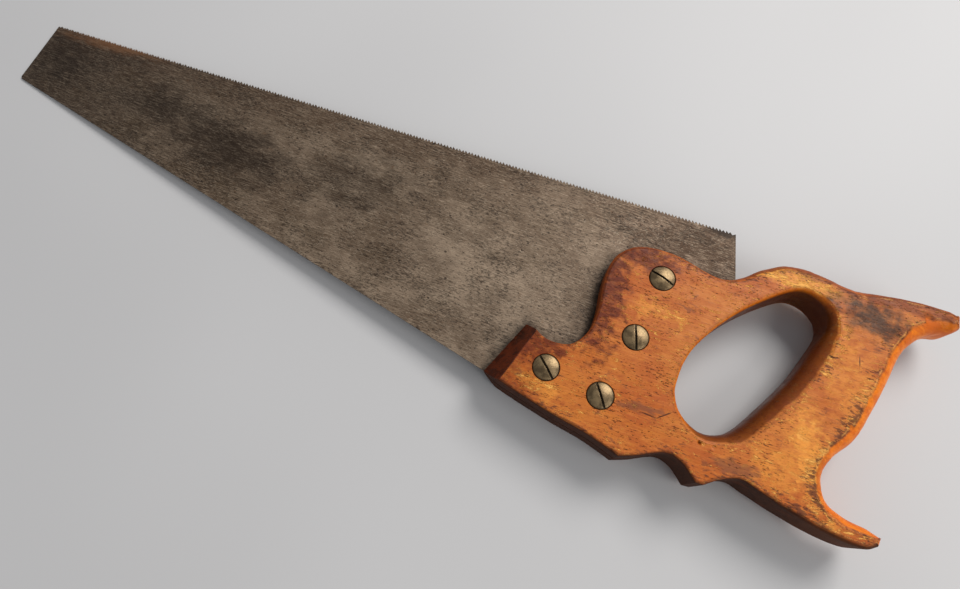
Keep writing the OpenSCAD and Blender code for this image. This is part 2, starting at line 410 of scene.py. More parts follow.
class Shader:
    """A short way to build a node material whose texture space is millimetres. tone is the surface's
    colour so far, which lay() covers layer by layer."""

    def __init__(self, name):
        self.material = bpy.data.materials.new(name)
        self.material.use_nodes = True
        self.tree = self.material.node_tree
        self.tree.nodes.clear()
        self.bsdf = self.new("ShaderNodeBsdfPrincipled")
        self.new("ShaderNodeOutputMaterial", {"Surface": self.bsdf.outputs[0]})
        self.place = self.new("ShaderNodeTexCoord").outputs["Object"]
        self.tone = None

    def new(self, kind, inputs=None, **settings):
        """Adds a node of a kind, with its inputs set or linked and its settings made."""
        node = self.tree.nodes.new(kind)
        for key, value in settings.items():
            setattr(node, key, value)
        for key, value in (inputs or {}).items():
            self.put(node.inputs[key], value)
        return node

    def put(self, socket, value):
        """Sets a socket to a number or colour, or links another socket to it."""
        if isinstance(value, bpy.types.NodeSocket):
            self.tree.links.new(value, socket)
        else:
            socket.default_value = value

    def look(self, **inputs):
        """Sets or links the shader's own sockets, whose names are given with _ for a space."""
        for name, value in inputs.items():
            self.put(self.bsdf.inputs[name.replace("_", " ")], value)

    def mapped(self, place, stretch, turn):
        """Object coordinates seen from a place, divided by stretch in mm and turned about Z by degrees."""
        return self.new("ShaderNodeMapping", vector_type="TEXTURE", inputs={
            "Vector": self.place, "Location": place, "Rotation": (0, 0, math.radians(turn)),
            "Scale": tuple(s * MM for s in stretch)}).outputs[0]

    def space(self, stretch=(1, 1, 1), shift=(0, 0, 0), turn=0):
        """Coordinates in the plate's axes, moved by shift in mm."""
        return self.mapped(ORIGIN + Vector(shift) * MM, stretch, turn)

    def axes(self):
        """The surface's own place in mm, as three sockets."""
        return tuple(self.new("ShaderNodeSeparateXYZ", {0: self.space()}).outputs)

    def noise(self, stretch, detail=4, roughness=0.55, distortion=0.0, shift=(0, 0, 0), turn=0):
        """Soft noise from 0 to 1 whose features are about stretch mm across."""
        return self.new("ShaderNodeTexNoise", {
            "Vector": self.space(stretch, shift, turn), "Scale": 1.0, "Detail": detail,
            "Roughness": roughness, "Distortion": distortion}).outputs["Fac"]

    def cells(self, stretch, shift=(0, 0, 0)):
        """Distance to the nearest of scattered points, about stretch mm apart."""
        place = self.space(stretch, shift)
        return self.new("ShaderNodeTexVoronoi", {"Vector": place, "Scale": 1.0}).outputs["Distance"]

    def attribute(self, name):
        """A point value of the mesh."""
        return self.new("ShaderNodeAttribute", attribute_name=name).outputs["Fac"]

    def chain(self, operation, first, *others):
        """One operation over several numbers or sockets, from the left."""
        for other in others:
            first = self.new("ShaderNodeMath", {0: first, 1: other}, operation=operation).outputs[0]
        return first

    plus = partialmethod(chain, "ADD")
    minus = partialmethod(chain, "SUBTRACT")
    times = partialmethod(chain, "MULTIPLY")
    most = partialmethod(chain, "MAXIMUM")

    def step(self, value, low, high, to_low=0.0, to_high=1.0):
        """A smooth step from to_low to to_high as value goes from low to high."""
        inputs = {"Value": value, "From Min": low, "From Max": high, "To Min": to_low, "To Max": to_high}
        return self.new("ShaderNodeMapRange", inputs, interpolation_type="SMOOTHSTEP").outputs[0]

    def mix(self, amount, a, b, blend="MIX"):
        """A blend of two colours."""
        inputs = {0: amount, 6: a, 7: b}
        return self.new("ShaderNodeMix", inputs, data_type="RGBA", blend_type=blend).outputs[2]

    def lay(self, colour, mask, share=1.0):
        """Lays a share of a colour over the tone where mask is 1."""
        self.tone = self.mix(mask if share == 1.0 else self.times(mask, share), self.tone, colour)

    def tint(self, colour, field, low, high, share):
        """Lays a share of a colour over the tone, more and more as field goes from low to high."""
        self.lay(colour, self.step(field, low, high, 0.0, share))

    def spot(self, centre, size, turn=0, rag=0.35, grain=(5, 5, 5), edge=0.5):
        """A ragged patch: 1 at its centre, 0 outside. centre and size are in mm."""
        place = self.mapped(ORIGIN + Vector((*centre, 0)) * MM, (*size, 100), turn)
        away = self.new("ShaderNodeVectorMath", {0: place}, operation="LENGTH").outputs["Value"]
        ragged = self.plus(away, self.times(self.minus(self.noise(grain), 0.5), rag * 4))
        return self.step(ragged, 1 + edge * 0.3, 1 - edge)

    def spots(self, rows, **look):
        """The strongest of several ragged patches, each given as centre, size, turn, rag and strength."""
        return self.most(*[self.times(self.spot(centre, size, turn, rag, **look), strength)
                           for centre, size, turn, rag, strength in rows])

    def relief(self, *layers):
        """Bumps on top of each other, each a height from 0 to 1, its depth in mm and its strength."""
        under = {}
        for height, depth, strength in layers:
            inputs = {"Strength": strength, "Distance": depth * MM, "Height": height, **under}
            under = {"Normal": self.new("ShaderNodeBump", inputs).outputs[0]}
        return under["Normal"]


def rgb(r, g, b):
    """A colour given as screen values from 0 to 255, as a linear colour."""
    def linear(v):
        v /= 255
        return v / 12.92 if v <= 0.04045 else ((v + 0.055) / 1.055) ** 2.4
    return (linear(r), linear(g), linear(b), 1.0)


# ---- Steel ----

# What age does to the steel and old varnish to the wood, multiplied over every colour.
AGED = (0.93, 0.85, 0.77, 1.0)
AMBER = (1.0, 0.90, 0.64, 1.0)

# Dark patches on the plate: centre, size, turn, raggedness and strength.
MURK = [((272, 42), (46, 20), -8, 0.5, 1), ((198, 38), (40, 20), 12, 0.5, 0.5),
        ((316, 30), (34, 14), 0, 0.5, 0.8)]


def steel_fields(s):
    """What the steel's layers share: where they lie and the noises that break them up."""
    x, y, _ = s.axes()
    f = SimpleNamespace()
    f.patch = s.noise((15, 10, 10), 6, 0.6, 0.3, (40, 9, 0))
    f.toe = s.step(s.plus(x, s.times(s.minus(f.patch, 0.5), 160)), 215, 400)
    lean = s.times(s.step(y, 10, 70), s.step(x, 120, 260))
    f.film = s.plus(s.noise((30, 17, 17), 6, 0.62, shift=(11, 60, 0)), s.times(lean, 0.08))
    f.murk = s.most(s.spot((392, 18), (22, 24), rag=0.5, grain=(7, 5, 5), edge=0.9),
                    s.spots(MURK, grain=(12, 7, 5), edge=0.9))
    by_teeth = s.step(s.plus(y, s.times(f.patch, 14)), 30, 11)
    f.heel = s.most(s.spot((14, 14), (62, 38), 12, 0.4, (12, 7, 5), 0.9), s.times(by_teeth, 0.65))
    thick = s.step(s.noise((24, 16, 16), shift=(77, 5, 0)), 0.36, 0.66)
    thick = s.plus(s.times(thick, 0.09), s.times(f.toe, 0.05))
    f.grains = s.plus(s.noise((1.7, 0.85, 1.2), 4, 0.74, 0.3), thick)
    f.lines = s.noise((8, 0.30, 6), 3, 0.7, turn=-2)
    small = s.step(s.cells((2.8, 2.3, 2.3)), 0.17, 0.09)
    large = s.step(s.cells((9.5, 7.0, 7.0), (5, 3, 0)), 0.10, 0.06)
    f.pits = s.most(s.times(small, s.step(f.film, 0.38, 0.54)), large)
    f.grime = s.times(s.attribute("grime"), s.step(s.noise((5, 5, 5), 5), 0.30, 0.6, 0.5, 1.0))
    return f


def steel_patina(s, f):
    """Soft light and dark clouds with a faint painted highlight ahead of the handle, a brown film, murky
    patches, and a darker toe, heel and tooth line.
    """
    cloud = s.noise((58, 40, 40), distortion=0.4)
    # Painted highlight: a soft ragged spot ahead of the handle's nose lightens the steel a little.
    painted_highlight = s.spot((105, 60), (70, 45), 10, 0.2, edge=0.9)
    bright = s.plus(s.times(cloud, 0.6), s.times(f.patch, 0.4), s.times(painted_highlight, 0.07))
    s.tone = s.mix(s.step(bright, 0.42, 0.66), rgb(110, 95, 81), rgb(150, 136, 121))
    s.lay(rgb(70, 57, 46), f.toe, 0.85)
    s.tint(rgb(76, 61, 44), f.film, 0.50, 0.68, 0.55)
    s.lay(rgb(48, 37, 27), f.murk, 0.72)
    s.lay(rgb(72, 51, 35), f.heel, 0.82)


def steel_stipple(s, f):
    """Dark rust grains a millimetre across, bright worn grains and brown rust in the darker patches."""
    s.tint(rgb(42, 32, 24), f.grains, 0.55, 0.64, 0.74)
    worn = s.step(s.noise((1.9, 0.55, 1.2), 4, 0.75, shift=(5, 7, 0)), 0.54, 0.66)
    s.lay(rgb(178, 167, 152), s.times(worn, s.minus(0.62, s.times(f.toe, 0.3))))
    rust = s.step(s.noise((3.4, 2.4, 3), 5, 0.7, shift=(1, 9, 0)), 0.60, 0.68)
    s.lay(rgb(98, 68, 40), s.times(rust, s.step(f.patch, 0.42, 0.6)), 0.6)


def steel_marks(s, f):
    """Fine marks from polishing, mostly along the blade and a few across it, and scattered pits."""
    across = s.noise((9, 0.42, 6), 3, 0.6, turn=-38, shift=(3, 5, 0))
    s.tint(rgb(192, 178, 160), f.lines, 0.52, 0.64, 0.40)
    s.tint(rgb(46, 37, 29), f.lines, 0.48, 0.36, 0.44)
    s.tint(rgb(176, 166, 152), across, 0.58, 0.70, 0.26)
    s.tint(rgb(50, 41, 33), across, 0.42, 0.32, 0.24)
    s.lay(rgb(34, 25, 18), f.pits, 0.75)


def steel_stains(s, f):
    """Soot over the dark patches, a copper-coloured strip at the toe's teeth, the heel's dark corner, and
    the dirt that a hand and a cloth leave against the wood."""
    s.lay(rgb(34, 22, 12), s.most(f.murk, s.times(f.toe, 0.35)), 0.50)
    s.lay(rgb(156, 112, 78), s.spot((366, 1), (40, 5.5), 3, 0.3, (6, 1.6, 5), 0.95), 0.5)
    s.lay(rgb(44, 36, 30), s.spot((5, 1), (9, 3.5), 0, 0.4, (3, 3, 3)), 0.8)
    s.lay(rgb(30, 24, 19), f.grime)


def steel_material():
    """Old saw steel: grey-brown patina, darker at the toe, stippled with rust, with fine lengthwise marks."""
    s = Shader("patinated_steel")
    f = steel_fields(s)
    for layer in (steel_patina, steel_stipple, steel_marks, steel_stains):
        layer(s, f)
    rough = s.step(s.plus(f.patch, s.times(f.grains, 0.5)), 0.60, 0.95, 0.38, 0.62)
    s.look(Base_Color=s.mix(1.0, s.tone, AGED, "MULTIPLY"), Metallic=0.45, Specular_IOR_Level=0.35,
           Roughness=s.most(rough, s.times(f.heel, 0.62), s.times(f.grime, 0.75)),
           Normal=s.relief((f.lines, 0.03, 0.4), (s.minus(1.0, f.pits), 0.12, 0.8), (f.grains, 0.08, 0.5)))
    return s.material


# ---- Wood ----

# Places on the handle: centre, size, turn, raggedness and strength. GOLD is where the finish has gone:
# the arch over the hand hole, the grip and the nose's lower corner. RED is the dark front lobe, REAR
# the dirt behind the grip and MARKS are purple-brown stains.
GOLD = [((-27, 20.5), (30, 6), -4, 0.35, 1), ((-50, 104), (10, 26), 20, 0.5, 1),
        ((-62, 64), (14, 34), 26, 0.35, 0.5), ((-40, 113), (16, 12), 0, 0.5, 0.6),
        ((76, 112), (15, 5), -15, 0.8, 0.6), ((31, 60), (14, 5), 0, 0.9, 0.6)]
RED = [((46, 32), (24, 9), -10, 0.5, 1), ((57, 56), (12, 38), 6, 0.6, 1),
       ((78, 94), (16, 9), 10, 0.7, 0.9), ((88, 106), (7, 13), 25, 0.8, 0.6)]
REAR = [((-64, 84), (11, 36), 27, 0.4, 1), ((-50, 118), (13, 12), 0, 0.4, 1)]
MARKS = [((27, 106.5), (11, 2.6), 8, 0.5, 1), ((-20, 118), (12, 3.5), 0, 0.5, 1)]
CRACKS = [((22, 108.4), (4.4, 0.42), -3, 0.12, 1), ((15.2, 106.2), (4.6, 0.42), 39, 0.12, 1)]
SCRATCHES = [((-64.1, 51.7), (3.3, 0.3), 98, 0.1, 1), ((-38, 68.5), (1.8, 0.4), 10, 0.1, 1)]


def nose_bevel(s, x, y, depth):
    """1 on the nose's bevel and 0 elsewhere, from the place and the depth below the cheek in mm."""
    start, run, reach = nose_axes()
    dx, dy = s.minus(x, start[0]), s.minus(y, start[1])
    into = s.plus(s.times(dx, -run[1]), s.times(dy, run[0]))
    along = s.plus(s.times(dx, run[0]), s.times(dy, run[1]))
    width = s.plus(BEVEL_TOP, s.times(along, (BEVEL_FOOT - BEVEL_TOP) / reach))
    limit = s.plus(BEVEL_EDGE, s.chain("DIVIDE", s.times(into, HALF - BEVEL_EDGE), width))
    above = s.minus(HALF, depth, limit)
    return s.times(s.step(above, -0.75, -0.45), s.step(x, 79, 80))


def wood_fields(s):
    """What the wood's layers share: places, the mesh's point values and the noises that break them up."""
    f = SimpleNamespace()
    f.x, f.y, z = s.axes()
    f.depth = s.minus(HALF, s.most(z, s.times(z, -1.0)))
    f.rim, f.edge, f.under, f.hole = (s.attribute(name) for name in ("rim", "edge", "under", "hole"))
    f.patch = s.noise((12, 5.5, 6), 6, 0.66, 0.5, (9, 31, 4))
    f.mottle = s.noise((4.2, 2.3, 2.6), 6, 0.7, 0.4, (3, 1, 4))
    f.grain = s.noise((20, 0.7, 1.2), 5, 0.66, 0.2)
    f.fine = s.noise((4.5, 0.26, 0.4), 3, 0.7)
    f.strokes = s.noise((3.6, 1.2, 2.0), 5, 0.7, 0.2, (6, 0, 0))
    f.worn = s.spots(GOLD)
    # The grip's flat is the cleanest part of the wood.
    f.marked = s.most(s.step(f.x, -52, -24, 0.35, 1.0), s.step(f.edge, 0.1, 0.5))
    crowd = s.plus(s.times(f.worn, 0.07), s.times(f.edge, 0.03))
    scuffs = s.plus(s.noise((5.5, 1.9, 2.5), 8, 0.82, 0.8, (4, 1, 0)), crowd)
    f.scuffs = s.times(s.step(scuffs, 0.590, 0.625), f.marked)
    near_edge = s.times(f.edge, s.step(f.hole, 0.2, 0.9, 1.0, 0.45))
    crowd = s.plus(s.times(near_edge, 0.15), s.times(s.spots(REAR), f.edge, 0.16))
    f.dirt = s.step(s.plus(f.strokes, crowd), 0.64, 0.74)
    crowd = s.step(s.noise((20, 15, 15), 3, shift=(2, 8, 0)), 0.36, 0.62, 0.0, 0.05)
    crowd = s.plus(crowd, s.times(s.spot((24, 92), (14, 9), rag=0.5), 0.035))
    pores = s.plus(s.noise((2.3, 0.5, 0.8), 3, 0.65, shift=(8, 2, 0)), crowd)
    f.fleck = s.times(s.step(pores, 0.655, 0.695), f.marked)
    return f


def varnish(s, f):
    """Orange-brown varnish over the grain."""
    s.tone = s.mix(s.step(s.noise((38, 20, 22)), 0.38, 0.62), rgb(202, 124, 60), rgb(188, 103, 45))
    s.tint(rgb(172, 84, 40), f.patch, 0.46, 0.64, 0.45)
    s.tint(rgb(150, 70, 36), f.mottle, 0.52, 0.66, 0.38)
    s.tint(rgb(214, 138, 76), f.mottle, 0.46, 0.34, 0.40)
    s.tint(rgb(150, 74, 36), f.grain, 0.50, 0.66, 0.35)
    s.tint(rgb(222, 146, 82), f.grain, 0.48, 0.34, 0.30)
    s.tint(rgb(126, 62, 34), f.fine, 0.52, 0.70, 0.32)


def worn_patches(s, f):
    """Gold wood where the finish has gone, pale scuffs, and the old dark finish on the front lobe."""
    s.lay(rgb(240, 164, 80), s.times(f.worn, s.step(f.mottle, 0.62, 0.40, 0.35, 0.85)))
    s.lay(rgb(248, 190, 112), f.scuffs, 0.9)
    front = s.times(s.step(f.x, 58, 92), s.step(f.patch, 0.40, 0.60, 0.15, 0.6))
    front = s.times(s.most(s.spots(RED), front), s.step(f.mottle, 0.38, 0.56, 0.68, 1.0))
    s.lay(rgb(92, 32, 14), front, 0.92)


def hand_dirt(s, f):
    """Purple-brown dirt in ragged strokes beside the edges, stains, and the grey-black horn."""
    s.lay(rgb(88, 50, 42), f.dirt, 0.80)
    stain = s.noise((10, 4.0, 5), 7, 0.72, 0.6, (50, 0, 0))
    s.lay(rgb(116, 68, 52), s.step(stain, 0.59, 0.64), 0.6)
    s.lay(rgb(112, 72, 62), s.spots(MARKS, grain=(4, 1.5, 3)), 0.6)
    horn = s.spot((-69, 29), (25, 11), -14, rag=0.5, edge=0.8)
    s.lay(rgb(46, 31, 25), s.times(horn, s.step(f.strokes, 0.30, 0.52, 0.6, 1.0)), 0.9)


def weathering(s, f):
    """Purple-brown along the top of the arch and the upper horn, cracks, scratches and black flecks."""
    top = s.times(s.spot((-62, 14), (58, 6.5), -2, grain=(9, 2.5, 4)), s.step(f.edge, 0.05, 0.4))
    s.lay(rgb(122, 62, 38), top, 0.75)
    lines = s.most(s.spots(CRACKS, grain=(2, 1.5, 2)), s.spots(SCRATCHES, grain=(2, 2, 2)))
    s.lay(rgb(60, 26, 16), lines, 0.85)
    s.lay(rgb(58, 26, 18), f.fleck, 0.85)


def smooth_walls(s, f):
    """Bright orange walls, duller along the top, front and bottom, with painted shade in the hand hole that
    darkens with depth, most on its grip side.
    """
    cheek = s.tone
    s.tone = s.mix(s.step(f.patch, 0.42, 0.62), rgb(244, 136, 20), rgb(220, 110, 14))
    s.tint(rgb(120, 54, 18), f.mottle, 0.60, 0.72, 0.6)
    dull_side = s.most(s.step(f.x, -60, -46), s.step(f.y, 20, 15.5))
    s.lay(rgb(122, 56, 26), s.times(dull_side, s.minus(1.0, f.hole)), 0.85)
    # Painted shade: the hand hole's walls turn dark brown with depth, and on the grip side, which faces away
    # from the light, already at the arris.
    grip_side = s.minus(s.times(f.x, 0.85), s.times(f.y, 0.53))
    shade_at_arris = s.step(grip_side, -46, -60, 0.25, 0.85)
    hole_shade = s.step(f.depth, 0.3, 4, shade_at_arris, 1.0)
    s.lay(rgb(62, 18, 3), s.times(hole_shade, s.plus(0.08, s.times(f.hole, 0.88))))
    s.tone = s.mix(s.times(s.step(f.depth, 0.35, 0.9), 0.9), cheek, s.tone)


def worn_arrises(s, f):
    """Pale bare wood and soot, each on some stretches of the arrises."""
    broken = s.noise((7, 7, 7), 6, 0.75, shift=(1, 2, 3))
    rear_side = s.minus(s.step(f.x, -62, -34, 0.0, -0.2), s.times(f.hole, 0.3))
    pale = s.times(s.step(f.rim, 0.70, 0.92), s.step(s.plus(broken, rear_side), 0.47, 0.60))
    s.lay(rgb(236, 180, 112), pale, 0.45)
    sooty = s.times(s.step(f.rim, 0.58, 0.88), s.step(broken, 0.55, 0.42), s.step(f.hole, 0.0, 1.0, 1.0, 0.5))
    s.lay(rgb(92, 42, 22), sooty, 0.55)


def grimy_shaded_underside_and_bevel(s, f):
    """Dark brown grime and painted shade on the walls of the lower edge, and the dark red bevel of the nose.
    """
    # The lower edge's walls face away from the light: their dark brown is partly grime and partly painted
    # shade.
    low = s.mix(s.step(f.grain, 0.42, 0.60), rgb(64, 33, 19), rgb(42, 22, 14))
    s.lay(s.mix(s.step(f.patch, 0.50, 0.66, 0.0, 0.6), low, rgb(84, 42, 22)), f.under, 0.94)
    face = s.mix(s.step(f.patch, 0.44, 0.58), rgb(64, 24, 9), rgb(94, 38, 14))
    face = s.mix(s.step(f.strokes, 0.56, 0.66), face, rgb(58, 24, 13))
    s.lay(face, nose_bevel(s, f.x, f.y, f.depth))


def wood_material():
    """Old varnished hardwood: orange-brown, gold where the finish has gone, dark with dirt at the edges, with
    painted shade on the lower edge and in the hand hole.
    """
    s = Shader("worn_varnished_wood")
    f = wood_fields(s)
    for layer in (varnish, worn_patches, hand_dirt, weathering, smooth_walls, worn_arrises, grimy_shaded_underside_and_bevel):
        layer(s, f)
    dull = s.most(s.times(f.dirt, 0.62), s.times(f.scuffs, 0.6), s.times(f.under, 0.75))
    flat = s.minus(1.0, s.most(f.fleck, s.times(f.scuffs, 0.6)))
    s.look(Base_Color=s.mix(1.0, s.tone, AMBER, "MULTIPLY"), Specular_IOR_Level=0.20,
           Roughness=s.most(s.step(f.patch, 0.3, 0.75, 0.34, 0.52), dull),
           Normal=s.relief((f.grain, 0.10, 0.4), (f.fine, 0.05, 0.35), (flat, 0.20, 0.8),
                           (f.mottle, 0.16, 0.4)))
    return s.material


# ---- Brass and floor ----

def brass_material():
    """Aged brass: dull grey-gold, with dark dirt in the slot and round the rim and a polished crown."""
    s = Shader("aged_brass")
    cloud = s.noise((4.0, 4.0, 4.0), 5, 0.65, 0.5)
    speck = s.noise((0.9, 0.9, 0.9), 4, 0.7)
    scratches = s.noise((7, 0.25, 2), 2, turn=35)
    s.tone = s.mix(s.step(cloud, 0.36, 0.64), rgb(106, 88, 64), rgb(140, 119, 88))
    s.tint(rgb(72, 62, 46), speck, 0.54, 0.68, 0.7)
    s.lay(rgb(34, 28, 22), s.times(s.attribute("dirt"), s.step(speck, 0.2, 0.6, 0.75, 1.0)))
    s.look(Base_Color=s.tone, Metallic=0.85,
           Roughness=s.step(s.plus(cloud, s.times(speck, 0.4)), 0.4, 0.95, 0.27, 0.5),
           Normal=s.relief((scratches, 0.02, 0.5), (speck, 0.05, 0.5)))
    return s.material


def floor_material():
    """Plain pale floor with the faintest unevenness."""
    s = Shader("pale_floor")
    soft = s.step(s.noise((400, 400, 400), 2), 0.3, 0.7)
    s.look(Base_Color=s.mix(soft, rgb(196, 196, 198), rgb(204, 204, 206)), Roughness=0.6,
           Specular_IOR_Level=0.2)
    return s.material


# ---- Plate ----

TOOTH_DEPTH = TOOTH_PITCH / (math.tan(FRONT_LEAN) + math.tan(BACK_LEAN))
TOOTH_COUNT = int((TOOTH_LINE - 2 * TOOTH_MARGIN) / TOOTH_PITCH)
FIRST_TOOTH = (TOOTH_LINE - TOOTH_COUNT * TOOTH_PITCH) / 2
TOOTH_SET = 0.16
FILE_SLANT = 0.16
END_FLAT = 0.4
TOE_CORNER = 1.0
HIDDEN_BACK = 26
HAIR = 0.03
EDGE_STEP = 2.5
HOLE_SIDES = 32
FINE_GRID = 1.7
COARSE_GRID = 4.5
FINE_UNTIL = 125
GRIME_REACH = 2.6


def straight(start, end, step):
    """Points from start up to end, bowed inwards by a hair so that no three are in line."""
    start, end = np.array(start, float), np.array(end, float)
    along = end - start
    parts = max(1, round(float(np.hypot(*along)) / step))
    inward = np.array([-along[1], along[0]]) / np.hypot(*along)
    return [tuple(start + along * t + inward * HAIR * 4 * t * (1 - t)) for t in np.arange(parts) / parts]


def plate_loop():
    """The plate's outline with its teeth, anticlockwise, and for each point which way a tooth leans."""
    loop, lean = [(0, END_FLAT)], [0]
    for i in range(TOOTH_COUNT):
        x = FIRST_TOOTH + i * TOOTH_PITCH
        loop += [(x, TOOTH_DEPTH), (x + TOOTH_DEPTH * math.tan(BACK_LEAN), 0)]
        lean += [0, 1 if i % 2 else -1]
    loop += [(FIRST_TOOTH + TOOTH_COUNT * TOOTH_PITCH, TOOTH_DEPTH), (TOOTH_LINE - END_FLAT, END_FLAT)]
    near_toe = TOOTH_LINE - TOE_CORNER
    corners = [(TOOTH_LINE, 2 * END_FLAT), (TOOTH_LINE, TOE_WIDTH - TOE_CORNER), (near_toe, back_y(near_toe)),
               (HIDDEN_BACK, back_y(HIDDEN_BACK))] + HIDDEN_END[::-1] + [(0, END_FLAT)]
    for start, end in zip(corners, corners[1:]):
        loop += straight(start, end, EDGE_STEP)
    lean += [0] * (len(loop) - len(lean))
    return np.array(loop, float), np.array(lean, float)


def build_plate(wood_edge):
    """The toothed plate, with each tooth bent a little to its own side and filed at a slant."""
    loop, lean = plate_loop()
    turn = np.linspace(0, 2 * math.pi, HOLE_SIDES + 1)[:-1]
    across, up = PLATE_HOLE_R * np.cos(turn), PLATE_HOLE_R * np.sin(turn)
    holes = [np.stack([x - across, y + up], axis=1) for x, y in BOLTS]
    fine = hex_grid((-8, -2), (FINE_UNTIL, 140), FINE_GRID)
    coarse = hex_grid((FINE_UNTIL, -2), (TOOTH_LINE, 110), COARSE_GRID)
    flat, tris, loop_ids = fill_between(loop, holes, np.vstack([fine, coarse]))
    count = len(flat)
    bend = np.zeros(count)
    bend[loop_ids[:len(lean)]] = lean
    verts = []
    for side in (1, -1):
        slanted = flat[:, 0] + FILE_SLANT * side * bend
        verts += list(zip(slanted, flat[:, 1], side * PLATE_HALF + TOOTH_SET * bend))
    near_side = [anticlockwise(f, flat) for f in tris]
    faces = near_side + [[i + count for i in f[::-1]] for f in near_side]
    start = 0
    for ring in [loop] + holes:
        ids = loop_ids[start:start + len(ring)]
        start += len(ring)
        faces += [[b, a, a + count, b + count] for a, b in zip(ids, ids[1:] + ids[:1])]
    obj = new_object("toothed_plate", verts, faces, smooth_deg=25)
    near = nearest_distance(flattened(in_mm(obj)), flattened(wood_edge))
    set_attribute(obj, "grime", np.exp(-(near / GRIME_REACH) ** 1.4) * 0.95)
    return obj


# ---- Handle ----

OUTLINE_STEP = 1.3
CHEEK_GRID = 1.5
ARRIS_TURN = math.radians(66)
WALL_RINGS = 8
FLAT_RINGS = 5
TIPS = [((-109.2, 15.2), 4.2), ((-85.2, 127), 3.4)]
TIP_REACH = 7.0
CHEEK_WEAR = 0.12
WEAR_DEPTH = 3.0
BOLT_PLAY = 0.22
NOSE_OVER = 4.0
NOSE_STRIPS = 14
SLOT_PLAY = 0.06
# The saw cut for the plate, open past the front and both edges of the wood.
SAW_CUT = [(-6.4, -30), (130, -30), (130, 150), (25.6, 150), (25.6, 100), (23.6, 68.2), (1.6, 36.4),
           (-6.4, 31.4)]


def cheek_pull(edge, radius):
    """How far and which way each point of an outline moves by the time it reaches the cheek, and how tall
    the rounding is. At a horn's tip it moves mostly along the horn, so that the tip ends round and blunt."""
    left = left_of(edge)
    pull = radius[:, None] * left
    height = np.minimum(TALLEST_ROUNDING, 1.3 * radius)
    for (x, y), length in TIPS:
        share = np.clip(1 - (edge[:, 0] - x) / TIP_REACH, 0, 1) * (np.abs(edge[:, 1] - y) < TIP_REACH)
        end = np.column_stack([np.full(len(edge), length), left[:, 1] * radius * 0.7])
        pull += share[:, None] * (end - pull)
        height += share * (TALLEST_ROUNDING - height)
    return pull, height


def arris_wear(x, y):
    """How much wider or narrower than drawn the rounding is at a place."""
    slow = noise.noise(Vector((x / 7, y / 7, 1.7)))
    quick = noise.noise(Vector((x / 2.2, y / 2.2, 5)))
    return 1 + 0.16 * slow + 0.08 * quick


def wall_rings(loop, way):
    """Rings that climb from the far cheek's arris to the near one round a rounded wall."""
    edge = loop[:, :2]
    radius = loop[:, 2] * np.array([arris_wear(x, y) for x, y in edge])
    pull, height = cheek_pull(edge, radius)
    rings = []
    turns = np.linspace(0, ARRIS_TURN, WALL_RINGS)
    for side in (-1, 1):
        for turn in turns[::side]:
            share = (1 - math.cos(turn)) / (1 - math.cos(ARRIS_TURN))
            drop = 1 - math.sin(turn) / math.sin(ARRIS_TURN)
            rings.append(np.column_stack([edge + way * share * pull, side * (HALF - height * drop)]))
        if side < 0:
            low, high = rings[-1], HALF - height
            for t in np.linspace(0, 1, FLAT_RINGS + 2)[1:-1]:
                rings.append(np.column_stack([low[:, :2], low[:, 2] + t * (high - low[:, 2])]))
    return rings


def wood_outline():
    """The handle's edge halfway through the wood."""
    return np.vstack([spline(keys, OUTLINE_STEP) for keys in STRETCHES])


def nose_axes():
    """The nose's upper corner, the way its edge runs and how long it is."""
    start, end = np.array(NOSE_TOP[:2], float), np.array(NOSE_BOTTOM[:2], float)
    reach = float(np.linalg.norm(end - start))
    return start, (end - start) / reach, reach


def nose_cutter(side):
    """A wedge, slightly twisted, that takes the nose down from one cheek to a thin edge beside the plate."""
    start, run, reach = nose_axes()
    into = np.array([-run[1], run[0]])
    rings = []
    for along in np.linspace(-NOSE_OVER, reach + NOSE_OVER, NOSE_STRIPS + 1):
        width = BEVEL_TOP + (BEVEL_FOOT - BEVEL_TOP) * along / reach
        slope = (HALF - BEVEL_EDGE) / width
        top = BEVEL_EDGE + (width + NOSE_OVER) * slope
        section = ((-NOSE_OVER, BEVEL_EDGE - NOSE_OVER * slope), (width + NOSE_OVER, top), (-NOSE_OVER, top))
        rings.append([(*(start + along * run + depth * into), side * height) for depth, height in section])
    verts, sides, ends = stack(rings)
    obj = new_object("nose_cutter", verts, sides + ends)
    fix_normals(obj)
    return obj


def weather(points):
    """Hand wear on the wood: small dents, chips on the arrises and a slow unevenness."""
    out = []
    for x, y, z in points:
        size = abs(z)
        cheek = max(0.0, 1 - (HALF - size) / WEAR_DEPTH)
        rough = noise.noise(Vector((x / 16, y / 9, z / 20 + 3))) * 0.10
        rough += noise.noise(Vector((x / 5, y / 2.4, z / 20 + 8))) * 0.05
        size -= cheek * (CHEEK_WEAR + rough)
        for (cx, cy), radius, depth in CHIPS:
            away = math.hypot(x - cx, y - cy) / radius
            if away < 1 and z > 0:
                size -= depth * (1 - away * away) ** 2 * cheek
        out.append((x, y, math.copysign(size, z)))
    return out


def bolt_cutter(at):
    """The stepped hole for one bolt: a flared recess for each head and a bore between them."""
    recess = HEAD_R + BOLT_PLAY
    flare = [(recess, HALF - 0.45), (recess + 0.12, HALF - 0.2), (recess + 0.2, HALF + 3), (0, HALF + 3)]
    bore = [(recess, -UNDER_HEAD), (NECK_HALF, -UNDER_HEAD), (NECK_HALF, 0), (BARREL_R + 0.1, 0),
            (BARREL_R + 0.1, UNDER_HEAD), (recess, UNDER_HEAD)]
    return lathe([(r, -z) for r, z in flare[::-1]] + bore + flare, at, sides=72)


